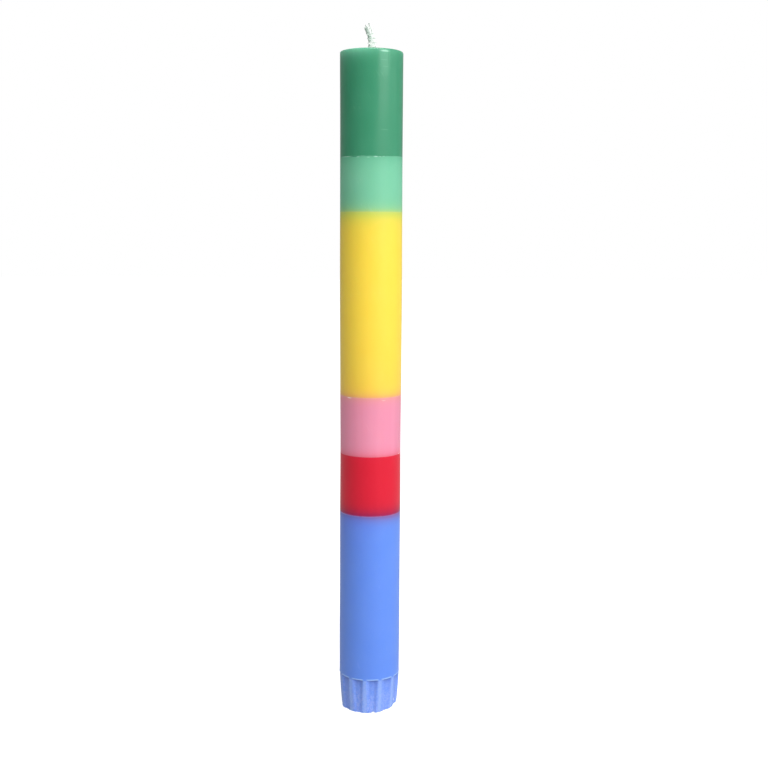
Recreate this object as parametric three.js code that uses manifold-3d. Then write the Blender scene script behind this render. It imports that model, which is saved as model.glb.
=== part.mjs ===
// A dinner candle of six wax bands, cast one on another round a plaited cotton wick.
// Its foot tapers and is fluted, so that it wedges itself into a candle holder.
// Millimetres, +Z up. The origin is the middle of the foot's base, and the front is -Y.

import * as THREE from 'three';
import { mergeVertices } from 'three/addons/utils/BufferGeometryUtils.js';
import Module from 'manifold-3d';

// Driving dimensions: the wax body and the height of each band, from the foot up
const CANDLE_DIAMETER = 23.4;
const BLUE_HEIGHT = 78;
const RED_HEIGHT = 22.7;
const PINK_HEIGHT = 22.4;
const YELLOW_HEIGHT = 68.5;
const MINT_HEIGHT = 20;
const GREEN_HEIGHT = 38.4;

// Driving dimensions: the rounded top
const SHOULDER_RADIUS = 0.6;
const TOP_DOME = 0.4;

// Driving dimensions: the seams. Each colour sinks a little round the wick as it sets, and the
// next one fills the dish, so a band ends in a flat rim with a shallow nose or dish inside it
const SEAM_RIM = 3;
const SEAM_DEPTH = 1.5;
const SEAM_GAP = 0.3;

// Driving dimensions: the foot and its flutes, which are deeper at the top than at the base
const FOOT_DIAMETER = 21.3;
const TAPER_HEIGHT = 13.5;
const FOOT_BEVEL = 0.3;
const FLUTE_COUNT = 12;
const FLUTE_HEIGHT = 13.5;
const FLUTE_MOUTH = 4;
const FLUTE_FLOOR = 3.2;
const FLUTE_DEPTH_TOP = 0.75;
const FLUTE_DEPTH_BASE = 0.35;
const FLUTE_TURN_DEG = 9;

// Driving dimensions: the wick, three flat strands plaited, with a stub that leans to the left
const STRAND_WIDTH = 1.05;
const STRAND_THICKNESS = 0.6;
const STRAND_GAP = 0.1;
const PLAIT_PITCH = 4.8;
const PLAIT_EASE = 0.12;
const PLAIT_HIDDEN = 2.7;
const LOOSE_END = 3.5;
const WICK_STUB = 10;
const WICK_GAP = 0.3;
const WICK_RECESS = 0.3;
const WICK_OFFSET = 0.1;
const STUB_RISE = 4.6;
const STUB_LEAN_DEG = 21;
const TIP_STEP = 0.7;

// How finely the round shapes are drawn
const ROUND_STEPS = 84;
const SEAM_STEPS = 3;
const SHOULDER_STEPS = 4;
const DOME_STEPS = 2;
const FLOOR_STEPS = 3;
const BORE_STEPS = 10;
const STRAND_SIDES = 8;
const PITCH_STEPS = 12;
const CUT_OVERRUN = 1;
const MERGE_DISTANCE = 1e-4;

// Sizes that follow from the driving dimensions
const RADIUS = CANDLE_DIAMETER / 2;
const FOOT_RADIUS = FOOT_DIAMETER / 2;
const DISH_RADIUS = RADIUS - SEAM_RIM;
const WAX_HEIGHT =
  BLUE_HEIGHT + RED_HEIGHT + PINK_HEIGHT + YELLOW_HEIGHT + MINT_HEIGHT + GREEN_HEIGHT;
const PLAIT_FROM = WAX_HEIGHT - PLAIT_HIDDEN;
const PLAIT_TO = WAX_HEIGHT + WICK_STUB - LOOSE_END;
const PLAIT = plaitSwing();
const WICK_WIDTH = 2 * PLAIT.side + STRAND_WIDTH;
const WICK_THICKNESS = 2 * PLAIT.depth + STRAND_THICKNESS;

const wasm = await Module();
wasm.setup();

// How far a strand swings to the side and in depth as it goes along the plait. The three oval
// strands follow one flat figure of eight, a third of a turn apart, and these are the smallest
// swings that keep STRAND_GAP between any two of them at every level.
function plaitSwing() {
  const touching = (4 / 3) * (1 + PLAIT_EASE) ** 2;
  const sideSquared = 4 * touching - Math.sqrt(16 * touching ** 2 - (64 / 3) * touching);
  return {
    side: Math.sqrt(sideSquared) * (STRAND_WIDTH + STRAND_GAP) / 2,
    depth: Math.sqrt(touching) * (STRAND_THICKNESS + STRAND_GAP) / 2,
  };
}

// A closed solid from a closed geometry: shared corners merged, and triangles with no area,
// which a lathe makes on its axis, left out
function toSolid(geometry) {
  const bare = geometry.clone();
  bare.deleteAttribute('normal');
  bare.deleteAttribute('uv');
  const merged = mergeVertices(bare, MERGE_DISTANCE);
  const corners = Array.from(merged.index.array);
  const kept = [];
  for (let i = 0; i < corners.length; i += 3) {
    const [a, b, c] = corners.slice(i, i + 3);
    if (a !== b && b !== c && c !== a) kept.push(a, b, c);
  }
  return new wasm.Manifold(new wasm.Mesh({
    numProp: 3,
    vertProperties: Float32Array.from(merged.attributes.position.array),
    triVerts: Uint32Array.from(kept),
  }));
}

// The geometry of a solid, flat-shaded
function toGeometry(solid) {
  const mesh = solid.getMesh();
  const geometry = new THREE.BufferGeometry();
  geometry.setAttribute('position', new THREE.BufferAttribute(mesh.vertProperties, 3));
  geometry.setIndex(new THREE.BufferAttribute(mesh.triVerts, 1));
  geometry.computeVertexNormals();
  return geometry;
}

// A solid of revolution about Z. The outline runs up from the axis and back to it
function turned(outline) {
  const geometry = new THREE.LatheGeometry(outline, ROUND_STEPS);
  geometry.rotateX(Math.PI / 2);
  return toSolid(geometry);
}

// A shallow bowl curve from the middle out, at least zero high, for a dish or a nose
function bowl(radius, depth, base) {
  const points = [];
  for (let i = 0; i <= SEAM_STEPS; i += 1) {
    const share = i / SEAM_STEPS;
    points.push(new THREE.Vector2(radius * share, base + depth * (1 - share ** 2)));
  }
  return points;
}

// The underside of a band above a seam: a dish inside a flat rim
function dishedUnderside() {
  return [...bowl(DISH_RADIUS, SEAM_DEPTH, 0), new THREE.Vector2(RADIUS, 0)];
}

// The top of a band below a seam: a flat rim with a nose that fits the dish above it
function nosedTop(height) {
  const nose = bowl(DISH_RADIUS - SEAM_GAP, SEAM_DEPTH - SEAM_GAP, height).reverse();
  return [new THREE.Vector2(RADIUS, height), ...nose];
}

// The top of the candle: a rounded shoulder, then a low dome to the wick
function domedTop(height) {
  const points = [];
  const rim = height - TOP_DOME;
  for (let i = 0; i <= SHOULDER_STEPS; i += 1) {
    const turn = (Math.PI / 2) * (i / SHOULDER_STEPS);
    points.push(new THREE.Vector2(
      RADIUS - SHOULDER_RADIUS * (1 - Math.cos(turn)),
      rim - SHOULDER_RADIUS * (1 - Math.sin(turn)),
    ));
  }
  const flat = RADIUS - SHOULDER_RADIUS;
  for (let i = DOME_STEPS - 1; i >= 0; i -= 1) {
    const share = i / DOME_STEPS;
    points.push(new THREE.Vector2(flat * share, rim + TOP_DOME * (1 - share ** 2)));
  }
  return points;
}

// The tapered end of the foot, up to where it reaches the full radius
function taperedEnd() {
  return [
    new THREE.Vector2(0, 0),
    new THREE.Vector2(FOOT_RADIUS - FOOT_BEVEL, 0),
    new THREE.Vector2(FOOT_RADIUS, FOOT_BEVEL),
    new THREE.Vector2(RADIUS, TAPER_HEIGHT),
  ];
}

// The oval hole that the wick fills, through a band of this height
function wickBore(height) {
  const oval = new THREE.Shape();
  oval.absellipse(
    WICK_OFFSET,
    0,
    WICK_WIDTH / 2 + WICK_GAP,
    WICK_THICKNESS / 2 + WICK_GAP,
    0,
    2 * Math.PI,
    false,
    0,
  );
  const geometry = new THREE.ExtrudeGeometry(oval, {
    depth: height + SEAM_DEPTH + 2 * CUT_OVERRUN,
    curveSegments: BORE_STEPS,
    bevelEnabled: false,
  });
  geometry.translate(0, 0, -CUT_OVERRUN);
  return toSolid(geometry);
}

// What is milled out for one flute on the +X side. Its floor keeps a constant radius across,
// leans out to the radius it has at the top, and its top is a square ledge
function fluteCutter() {
  const floorBase = FOOT_RADIUS - FLUTE_DEPTH_BASE;
  const floorTop = RADIUS - FLUTE_DEPTH_TOP;
  const floorHalf = Math.asin(FLUTE_FLOOR / 2 / floorBase);
  const wall = (FLUTE_MOUTH - FLUTE_FLOOR) / 2 / FLUTE_DEPTH_TOP;
  const outer = RADIUS + CUT_OVERRUN;
  const mouthHalf = FLUTE_FLOOR / 2 + wall * (outer - floorBase);
  const section = new THREE.Shape();
  section.moveTo(outer, -mouthHalf);
  section.lineTo(outer, mouthHalf);
  section.absarc(0, 0, floorBase, floorHalf, -floorHalf, true);
  section.closePath();
  const geometry = new THREE.ExtrudeGeometry(section, {
    depth: FLUTE_HEIGHT + CUT_OVERRUN,
    curveSegments: FLOOR_STEPS,
    bevelEnabled: false,
  });
  geometry.translate(0, 0, -CUT_OVERRUN);
  const lean = (floorTop - floorBase) / FLUTE_HEIGHT;
  geometry.applyMatrix4(new THREE.Matrix4().makeShear(0, 0, 0, 0, lean, 0));
  return geometry;
}

// The foot with every flute cut, the first of them FLUTE_TURN_DEG to the right of the front
function cutFlutes(foot) {
  let cut = foot;
  for (let i = 0; i < FLUTE_COUNT; i += 1) {
    const turn = THREE.MathUtils.degToRad(FLUTE_TURN_DEG - 90 + (360 / FLUTE_COUNT) * i);
    cut = cut.subtract(toSolid(fluteCutter().rotateZ(turn)));
  }
  return cut;
}

// Where the stub's middle lies, to the right of the bore's, at this height above the wax
function stubShift(height) {
  const leaning = Math.max(0, height - STUB_RISE);
  return -leaning * Math.tan(THREE.MathUtils.degToRad(STUB_LEAN_DEG));
}

// One level outline of a strand. The wax hides the plait below PLAIT_HIDDEN, and there the
// strand runs straight, as it lies where the plait starts. It runs straight again over the
// LOOSE_END, where the cut has let the plait come undone
function strandRing(start, level) {
  const plaited = Math.min(Math.max(level, PLAIT_FROM), PLAIT_TO) - PLAIT_FROM;
  const phase = start + (2 * Math.PI * plaited) / PLAIT_PITCH;
  const x = stubShift(level - WAX_HEIGHT) + PLAIT.side * Math.cos(phase);
  const y = PLAIT.depth * Math.sin(2 * phase);
  const ring = [];
  for (let i = 0; i < STRAND_SIDES; i += 1) {
    const turn = (2 * Math.PI * i) / STRAND_SIDES;
    ring.push(new THREE.Vector3(
      x + (STRAND_WIDTH / 2) * Math.cos(turn),
      y + (STRAND_THICKNESS / 2) * Math.sin(turn),
      level,
    ));
  }
  return ring;
}

// A closed skin over level rings of equally many points, from the lowest ring up
function loft(rings) {
  const sides = rings[0].length;
  const faces = [];
  for (let i = 1; i < sides - 1; i += 1) {
    faces.push(0, i + 1, i);
  }
  for (let r = 0; r < rings.length - 1; r += 1) {
    for (let i = 0; i < sides; i += 1) {
      const next = (i + 1) % sides;
      const a = r * sides + i;
      const b = r * sides + next;
      faces.push(a, b, b + sides, a, b + sides, a + sides);
    }
  }
  const last = (rings.length - 1) * sides;
  for (let i = 1; i < sides - 1; i += 1) {
    faces.push(last, last + i, last + i + 1);
  }
  const geometry = new THREE.BufferGeometry().setFromPoints(rings.flat());
  geometry.setIndex(faces);
  geometry.computeVertexNormals();
  return geometry;
}

// One strand of the wick, from the recess in the base to its cut end
function strandGeometry(start, cutBack) {
  const length = PLAIT_TO - PLAIT_FROM;
  const steps = Math.ceil((length / PLAIT_PITCH) * PITCH_STEPS);
  const rings = [strandRing(start, WICK_RECESS)];
  for (let i = 0; i <= steps; i += 1) {
    rings.push(strandRing(start, PLAIT_FROM + (length * i) / steps));
  }
  rings.push(strandRing(start, WAX_HEIGHT + WICK_STUB - cutBack));
  return loft(rings);
}

function wax(color) {
  return new THREE.MeshStandardMaterial({ color, roughness: 0.42, metalness: 0 });
}

function cotton() {
  return new THREE.MeshStandardMaterial({ color: 0xe6ece3, roughness: 0.9, metalness: 0 });
}

function named(name, geometry, material) {
  const mesh = new THREE.Mesh(geometry, material);
  mesh.name = name;
  return mesh;
}

// The wax bands in order from the foot. Each outline is measured from its own underside
function buildBands() {
  const bands = [
    { name: 'blue_foot_band', height: BLUE_HEIGHT, color: 0x6f9ff8 },
    { name: 'red_band', height: RED_HEIGHT, color: 0xe23c4f },
    { name: 'pink_band', height: PINK_HEIGHT, color: 0xf4a0bb },
    { name: 'yellow_band', height: YELLOW_HEIGHT, color: 0xfde55c },
    { name: 'mint_band', height: MINT_HEIGHT, color: 0x89d6b2 },
    { name: 'green_top_band', height: GREEN_HEIGHT, color: 0x4ea67a },
  ];
  const group = new THREE.Group();
  let level = 0;
  bands.forEach(({ name, height, color }, i) => {
    const underside = i === 0 ? taperedEnd() : dishedUnderside();
    const top = i === bands.length - 1 ? domedTop(height) : nosedTop(height);
    let solid = turned([...underside, ...top]);
    if (i === 0) solid = cutFlutes(solid);
    const mesh = named(name, toGeometry(solid.subtract(wickBore(height))), wax(color));
    mesh.position.z = level;
    group.add(mesh);
    level += height;
  });
  return group;
}

// The wick: three strands a third of a turn apart, cut at slightly different heights
function buildWick() {
  const group = new THREE.Group();
  ['wick_strand_1', 'wick_strand_2', 'wick_strand_3'].forEach((name, i) => {
    const start = (2 * Math.PI * i) / 3;
    group.add(named(name, strandGeometry(start, TIP_STEP * i), cotton()));
  });
  group.position.x = WICK_OFFSET;
  return group;
}

const group = new THREE.Group();
group.add(buildBands(), buildWick());

export default group;
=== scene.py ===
"""Dresses a packed dinner candle: six bands of wax, a fluted foot and a plaited cotton wick.

The wax of each band is a fine closed skin in the place of its CAD node. All bands share one
outer surface, so that the colours meet flush, and the dye of each bleeds a little into its
neighbours, as it does in warm wax. Sizes in the classes are millimetres.
"""

import logging
import math
import random
from dataclasses import dataclass, field, replace
from enum import Enum
from typing import Callable, Sequence

import bpy
import numpy as np
from mathutils import Euler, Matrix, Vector, noise


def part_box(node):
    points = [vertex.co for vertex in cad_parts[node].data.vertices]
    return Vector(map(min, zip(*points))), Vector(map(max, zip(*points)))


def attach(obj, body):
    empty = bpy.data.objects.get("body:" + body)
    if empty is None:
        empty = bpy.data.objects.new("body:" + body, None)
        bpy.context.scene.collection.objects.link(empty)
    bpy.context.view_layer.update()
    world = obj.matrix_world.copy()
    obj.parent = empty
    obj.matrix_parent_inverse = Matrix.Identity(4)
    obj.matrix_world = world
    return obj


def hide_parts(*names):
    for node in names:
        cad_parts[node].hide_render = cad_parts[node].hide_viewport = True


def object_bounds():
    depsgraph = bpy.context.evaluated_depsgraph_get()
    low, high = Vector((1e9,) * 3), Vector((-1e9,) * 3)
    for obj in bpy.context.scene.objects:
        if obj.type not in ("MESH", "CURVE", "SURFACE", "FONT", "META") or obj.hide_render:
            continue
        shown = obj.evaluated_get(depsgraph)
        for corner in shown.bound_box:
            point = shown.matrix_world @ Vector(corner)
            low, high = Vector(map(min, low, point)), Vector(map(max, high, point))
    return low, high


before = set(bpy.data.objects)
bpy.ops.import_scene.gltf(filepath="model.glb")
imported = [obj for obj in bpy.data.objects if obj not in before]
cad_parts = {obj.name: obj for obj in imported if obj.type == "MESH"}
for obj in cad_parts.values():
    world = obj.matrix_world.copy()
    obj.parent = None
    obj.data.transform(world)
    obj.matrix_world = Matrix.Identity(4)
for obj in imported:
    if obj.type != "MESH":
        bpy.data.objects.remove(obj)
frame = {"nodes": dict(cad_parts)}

CAD_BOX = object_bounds()
MM = 0.001
PER_METRE = 1000.0
TURN = 2.0 * math.pi
SEED_SLANT = 1.7
BODY = "root"
WHITE = (1.0, 1.0, 1.0)
LOG = logging.getLogger("candle")

Colour = tuple[float, float, float]
Ring = np.ndarray


class Band(Enum):
    """The CAD node of each colour of wax, from the foot up."""

    BLUE = "blue_foot_band"
    RED = "red_band"
    PINK = "pink_band"
    YELLOW = "yellow_band"
    MINT = "mint_band"
    GREEN = "green_top_band"


class Effect(Enum):
    """The shader node groups that several finishes share."""

    SEAM_BLEED = "seam_bleed"
    SEAM_LINE = "seam_line"
    WAX_BLOOM = "wax_bloom"
    HAND_SCRATCHES = "hand_scratches"
    WAX_MARK = "wax_mark"


class Side(Enum):
    """On which side of a seam a band lies."""

    ABOVE = 1.0
    BELOW = -1.0


def turns(count: int) -> np.ndarray:
    """Gives the angles of evenly spaced points round a ring."""
    return np.linspace(0.0, TURN, count, endpoint=False)


def wrapped(angles: np.ndarray) -> np.ndarray:
    """Brings angles to within half a turn of 0."""
    return (angles + math.pi) % TURN - math.pi


def smooth_step(value: np.ndarray | float, low: float, high: float) -> np.ndarray:
    """Rises smoothly from 0 at low to 1 at high."""
    share = np.clip((value - low) / (high - low), 0.0, 1.0)
    return share * share * (3.0 - 2.0 * share)


def fading(value: float, end: float) -> float:
    """Falls evenly from 1 at 0 to 0 at the end and past it."""
    return max(0.0, 1.0 - value / end)


def grain(points: Ring, scale: float, seed: float) -> np.ndarray:
    """Gives soft noise round 0 at each point; scale is its cells in a millimetre."""
    shift = Vector((seed, seed * SEED_SLANT, -seed))
    return np.array([noise.noise(Vector(point) * scale + shift) for point in points])


def level_ring(x: np.ndarray, y: np.ndarray, height: float) -> Ring:
    """Puts points at one height."""
    return np.column_stack((x, y, np.full(len(x), height)))


def from_axis(ring: Ring) -> np.ndarray:
    """Gives how far each point is from the candle's axis."""
    return np.hypot(ring[:, 0], ring[:, 1])


def between(outer: Ring, inner: Ring, steps: int, ease: float = 1.0) -> list[tuple[float, Ring]]:
    """Gives rings from just inside one ring to another, each after its share of the way."""
    shares = [(step / steps) ** ease for step in range(1, steps + 1)]
    return [(share, outer * (1.0 - share) + inner * share) for share in shares]


def placed(name: str, data: bpy.types.ID) -> bpy.types.Object:
    """Makes an object and links it to the scene.

    Args:
        name: The object's name.
        data: Its mesh, light or camera.

    Returns:
        The object.
    """
    made = bpy.data.objects.new(name, data)
    bpy.context.scene.collection.objects.link(made)
    return made


# How many points go round the wax, and the bearing of each from the front towards +X
SIDES = 288
BEARINGS = turns(SIDES)
DEGREES = np.degrees(wrapped(BEARINGS))


class Value:
    """A number, colour or vector that a node gives, and the sums that it can be used in."""

    def __init__(self, graph: "Graph", socket: bpy.types.NodeSocket) -> None:
        """Keeps the socket that gives it, and that socket's graph."""
        self.graph = graph
        self.socket = socket

    def __add__(self, other: "Feed") -> "Value":
        """Adds another value."""
        return self.graph.math("ADD", self, other)

    def __sub__(self, other: "Feed") -> "Value":
        """Takes another value from this one."""
        return self.graph.math("SUBTRACT", self, other)

    def __rsub__(self, other: float) -> "Value":
        """Takes this value from a number."""
        return self.graph.math("SUBTRACT", other, self)

    def __mul__(self, other: "Feed") -> "Value":
        """Multiplies by another value."""
        return self.graph.math("MULTIPLY", self, other)

    def __truediv__(self, other: "Feed") -> "Value":
        """Divides by another value."""
        return self.graph.math("DIVIDE", self, other)


Feed = float | Colour | Value


class Graph:
    """Adds nodes to one node tree and joins them."""

    # The places of the Mix node's share, its two colours and the colour that it gives
    MIX_INPUTS = (0, 6, 7)
    MIX_RESULT = 2

    def __init__(self, tree: bpy.types.NodeTree) -> None:
        """Starts on a material's, world's or group's tree."""
        self.tree = tree

    def feed(self, node: bpy.types.Node, values: dict[str | int, Feed]) -> None:
        """Gives inputs of a node what they take.

        Args:
            node: The node.
            values: The numbers, colours or other nodes' values, by the inputs' names or places.
        """
        for name, value in values.items():
            target = node.inputs[name]
            if isinstance(value, Value):
                self.tree.links.new(value.socket, target)
            elif target.type == "RGBA":
                target.default_value = (*value, 1.0)
            else:
                target.default_value = value

    def add(
        self, kind: str, values: dict[str | int, Feed] | None = None, **settings: object
    ) -> bpy.types.Node:
        """Adds one node.

        Args:
            kind: The node's type name.
            values: What its inputs take.
            settings: Its properties and their values.

        Returns:
            The node.
        """
        node = self.tree.nodes.new(kind)
        for name, setting in settings.items():
            setattr(node, name, setting)
        self.feed(node, values or {})
        return node

    def value(
        self, kind: str, values: dict[str | int, Feed] | None = None, output: str | int = 0,
        **settings: object,
    ) -> Value:
        """Adds one node and gives one of its outputs."""
        return Value(self, self.add(kind, values, **settings).outputs[output])

    def math(self, operation: str, *values: Feed, clamp: bool = False) -> Value:
        """Does one sum, whose result clamp keeps from 0 to 1."""
        given = dict(enumerate(values))
        return self.value("ShaderNodeMath", given, operation=operation, use_clamp=clamp)

    def fall(self, value: Value) -> Value:
        """Falls from 1 at 0 towards 0, to 1/e at 1."""
        return self.math("EXPONENT", value * -1.0)

    def mix(self, share: Feed, first: Feed, second: Feed, blend: str = "MIX") -> Value:
        """Blends a share of a second colour into a first."""
        given = dict(zip(self.MIX_INPUTS, (share, first, second)))
        return self.value("ShaderNodeMix", given, self.MIX_RESULT, data_type="RGBA", blend_type=blend)

    def spread(
        self, value: Value, low: float, high: float, to_low: Feed = 0.0, to_high: Feed = 1.0
    ) -> Value:
        """Turns low and high into to_low and to_high, smoothly and held past both ends."""
        given = dict(enumerate((value, low, high, to_low, to_high)))
        return self.value("ShaderNodeMapRange", given, interpolation_type="SMOOTHSTEP")

    def power(self, colour: Feed, exponent: Feed) -> Value:
        """Raises a colour to a power, channel by channel."""
        return self.value("ShaderNodeGamma", {"Color": colour, "Gamma": exponent})

    def place(self) -> Value:
        """Gives the point on the piece, in metres in the frame."""
        return self.value("ShaderNodeTexCoord", output="Object")

    def parts(self, vector: Value) -> list[Value]:
        """Splits a vector into its x, y and z."""
        split = self.add("ShaderNodeSeparateXYZ", {0: vector})
        return [Value(self, part) for part in split.outputs]

    def round_place(self) -> tuple[Value, Value, Value]:
        """Gives where the point is round the candle's axis.

        Returns:
            Its bearing in radians from the front towards +X, and its radius and its height in
            millimetres.
        """
        x, y, z = self.parts(self.place())
        radius = self.math("SQRT", x * x + y * y) * PER_METRE
        return self.math("ARCTAN2", x, y * -1.0), radius, z * PER_METRE

    def stretched(self, point: Value, scale: tuple[float, float, float]) -> Value:
        """Multiplies a point's x, y and z."""
        return self.value("ShaderNodeMapping", {"Vector": point, "Scale": scale})

    def noise(self, point: Value, scale: float, detail: float = 2.0) -> Value:
        """Gives noise from 0 to 1, by its cells in a metre and how many finer layers it has."""
        given = {"Vector": point, "Scale": scale, "Detail": detail}
        return self.value("ShaderNodeTexNoise", given)

    def bump(self, height: Value, depth: float) -> Value:
        """Gives the normal of a surface whose height of 1 is so deep, in millimetres."""
        return self.value("ShaderNodeBump", {"Distance": depth * MM, "Height": height})

    def effect(self, effect: Effect, **values: Feed) -> dict[str, Value]:
        """Places a shared effect with its own values, and gives its outputs by name."""
        node = self.add("ShaderNodeGroup", values, node_tree=bpy.data.node_groups[effect.value])
        return {output.name: Value(self, output) for output in node.outputs}


class EffectGroup(Graph):
    """One shared effect: a shader node group with named inputs and outputs."""

    COLOURS = ("Colour", "Tint", "Line", "Pale")

    def __init__(self, effect: Effect, inputs: str, outputs: str) -> None:
        """Makes the empty group and its sockets.

        Args:
            effect: Which effect it is.
            inputs: The names of its inputs, with spaces between them.
            outputs: The names of its outputs.
        """
        super().__init__(bpy.data.node_groups.new(effect.value, "ShaderNodeTree"))
        for way, names in (("INPUT", inputs), ("OUTPUT", outputs)):
            for name in names.split():
                kind = "NodeSocketColor" if name in self.COLOURS else "NodeSocketFloat"
                self.tree.interface.new_socket(name=name, in_out=way, socket_type=kind)
        self.given = self.add("NodeGroupInput")
        self.result = self.add("NodeGroupOutput")

    def __getitem__(self, name: str) -> Value:
        """Gives one of the group's inputs."""
        return Value(self, self.given.outputs[name])

    def give(self, **values: Value) -> None:
        """Joins values to the group's outputs."""
        self.feed(self.result, values)


class SharedEffects:
    """Builds the node groups that the finishes use."""

    WAVER_SCALE = 170.0
    BLEED_TURN = (-0.9, 0.8)
    PATCH_SCALE = 420.0
    PATCH_EDGES = (0.42, 0.6)
    CLOUD_SCALE = 95.0
    CLOUD_EDGES = (0.35, 0.7)
    CLOUD_RISE = 0.8
    SPECK_SCALE = 1900.0
    SPECK_EDGES = (0.62, 0.78)
    STREAK_STRETCH = (520.0, 520.0, 14.0)
    BLOOM_MATT = 0.5
    SCRATCH_LEAN = (0.0, 0.55, 0.0)
    SCRATCH_STRETCH = (1500.0, 1500.0, 130.0)
    SCRATCH_EDGES = (0.66, 0.74)
    HANDLED_EDGES = (0.5, 0.62)
    MARK_SCALE = 1300.0
    MARK_ROUGHNESS = 0.5

    def build(self) -> None:
        """Builds every group once."""
        for effect in (self.wax_mark, self.seam_bleed, self.seam_line, self.wax_bloom, self.scratches):
            effect()

    def above_seam(self, group: EffectGroup) -> Value:
        """Gives how many millimetres a point lies above a seam that strays up and down."""
        stray = group.noise(group.place(), self.WAVER_SCALE) - 0.5
        return group.round_place()[2] - (stray * group["Waver"] + group["Level"])

    def seam_bleed(self) -> None:
        """A tint in the wax near a seam, mixed by what the two colours absorb: the neighbour's dye,
        and in one place a painted shade on the candle's left.
        """
        group = EffectGroup(
            Effect.SEAM_BLEED, "Colour Tint Level Side Reach Waver Share Left", "Colour"
        )
        inside = group.math("MAXIMUM", self.above_seam(group) * group["Side"], 0.0)
        aside = group.math("SINE", group.round_place()[0])
        most = group.spread(aside, *self.BLEED_TURN, group["Left"], group["Share"])
        share = group.fall(inside / group["Reach"]) * most
        own = group.power(group["Colour"], 1.0 - share)
        dye = group.power(group["Tint"], share)
        group.give(Colour=group.mix(1.0, own, dye, "MULTIPLY"))

    def seam_line(self) -> None:
        """A thin painted highlight along a seam, where a lip of wax would catch the light, broken up
        by patches.
        """
        group = EffectGroup(
            Effect.SEAM_LINE, "Colour Line Level Width Waver Strength Patches", "Colour"
        )
        away = self.above_seam(group) / group["Width"]
        gaps = group.spread(group.noise(group.place(), self.PATCH_SCALE), *self.PATCH_EDGES)
        kept = 1.0 - gaps * group["Patches"]
        share = group.fall(away * away) * kept * group["Strength"]
        group.give(Colour=group.mix(share, group["Colour"], group["Line"]))

    def wax_bloom(self) -> None:
        """Clouding, upright streaks and pale specks, and what they do to the gloss."""
        group = EffectGroup(
            Effect.WAX_BLOOM, "Colour Pale Clouding Specks Streaks Roughness",
            "Colour Roughness Height",
        )
        point = group.place()
        cloud = group.spread(group.noise(point, self.CLOUD_SCALE, 4.0), *self.CLOUD_EDGES)
        speck = group.spread(group.noise(point, self.SPECK_SCALE, 1.0), *self.SPECK_EDGES)
        drawn = group.noise(group.stretched(point, self.STREAK_STRETCH), 1.0, 3.0)
        veil = cloud * group["Clouding"] + drawn * group["Streaks"]
        dots = speck * group["Specks"]
        share = group.math("ADD", veil, dots, clamp=True)
        group.give(
            Colour=group.mix(share, group["Colour"], group["Pale"]),
            Roughness=share * self.BLOOM_MATT + group["Roughness"],
            Height=cloud * self.CLOUD_RISE + dots,
        )

    def wax_mark(self) -> None:
        """A small oval spot with an uneven edge, as a mask."""
        group = EffectGroup(Effect.WAX_MARK, "Bearing Level Across Up Share", "Mask")
        bearing, radius, height = group.round_place()
        along = (bearing - group["Bearing"]) * radius / group["Across"]
        above = (height - group["Level"]) / group["Up"]
        rough = group.noise(group.place(), self.MARK_SCALE) + self.MARK_ROUGHNESS
        far = (along * along + above * above) * rough
        group.give(Mask=group.fall(far * far) * group["Share"])

    def scratches(self) -> None:
        """Fine leaning scratches from handling, as a mask."""
        group = EffectGroup(Effect.HAND_SCRATCHES, "Amount", "Mask")
        point = group.place()
        turned = {"Vector": point, "Rotation": self.SCRATCH_LEAN}
        leaning = group.value("ShaderNodeVectorRotate", turned, rotation_type="EULER_XYZ")
        drawn = group.noise(group.stretched(leaning, self.SCRATCH_STRETCH), 1.0, 1.0)
        handled = group.spread(group.noise(point, self.CLOUD_SCALE), *self.HANDLED_EDGES)
        group.give(Mask=group.spread(drawn, *self.SCRATCH_EDGES) * handled * group["Amount"])


@dataclass(frozen=True)
class BleedAndShade:
    """How a tint shows in the wax on one side of a seam. Most are a neighbour's dye; the deep blue one
    under the red seam is a painted shade on the candle's left.

    Attributes:
        tint: The colour that the wax turns towards, linear.
        share: How far it turns where the colours meet, from 0 to 1.
        reach: How far into the wax that carries.
        left: The share on the candle's left, if it isn't the same there.
    """

    tint: Colour
    share: float
    reach: float
    left: float | None = None


@dataclass(frozen=True)
class Seam:
    """How two colours meet.

    Attributes:
        level: The seam's height.
        waver: How far it strays up and down.
        under: The tints in the wax under it.
        over: The tints in the wax over it.
        line: The colour of the thin painted highlight along it, if it has one.
        line_offset: How far above the seam the line lies.
        line_width: Half the line's width.
        line_strength: How plainly the line shows.
        patches: How broken the line is, from 0 to 1.
    """

    level: float
    waver: float
    under: tuple[BleedAndShade, ...]
    over: tuple[BleedAndShade, ...]
    line: Colour | None = None
    line_offset: float = 0.0
    line_width: float = 0.3
    line_strength: float = 0.1
    patches: float = 0.8


@dataclass(frozen=True)
class Patch:
    """Another shade over a part of a band.

    Attributes:
        mask: Gives how much of it shows, from 0 to 1, in a material's nodes.
        colour: Its colour, linear.
        matt: How much rougher it is than the wax round it.
    """

    mask: Callable[[Graph], Value]
    colour: Colour
    matt: float = 0.0


@dataclass(frozen=True)
class Mark:
    """A small spot on the wax's side: a nick, a scratch, a dab of the next colour, a bead, or a
    painted highlight, sheen or glint.

    Attributes:
        bearing: Where its middle lies, in degrees from the front towards +X.
        level: Its middle's height.
        half_width: Half its width.
        half_height: Half its height.
        share: How plainly it shows, from 0 to 1.
    """

    bearing: float
    level: float
    half_width: float
    half_height: float
    share: float

    def mask(self, graph: Graph) -> Value:
        """Gives how much of it shows, from 0 to 1."""
        return graph.effect(
            Effect.WAX_MARK, Bearing=math.radians(self.bearing), Level=self.level,
            Across=self.half_width, Up=self.half_height, Share=self.share,
        )["Mask"]


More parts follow.
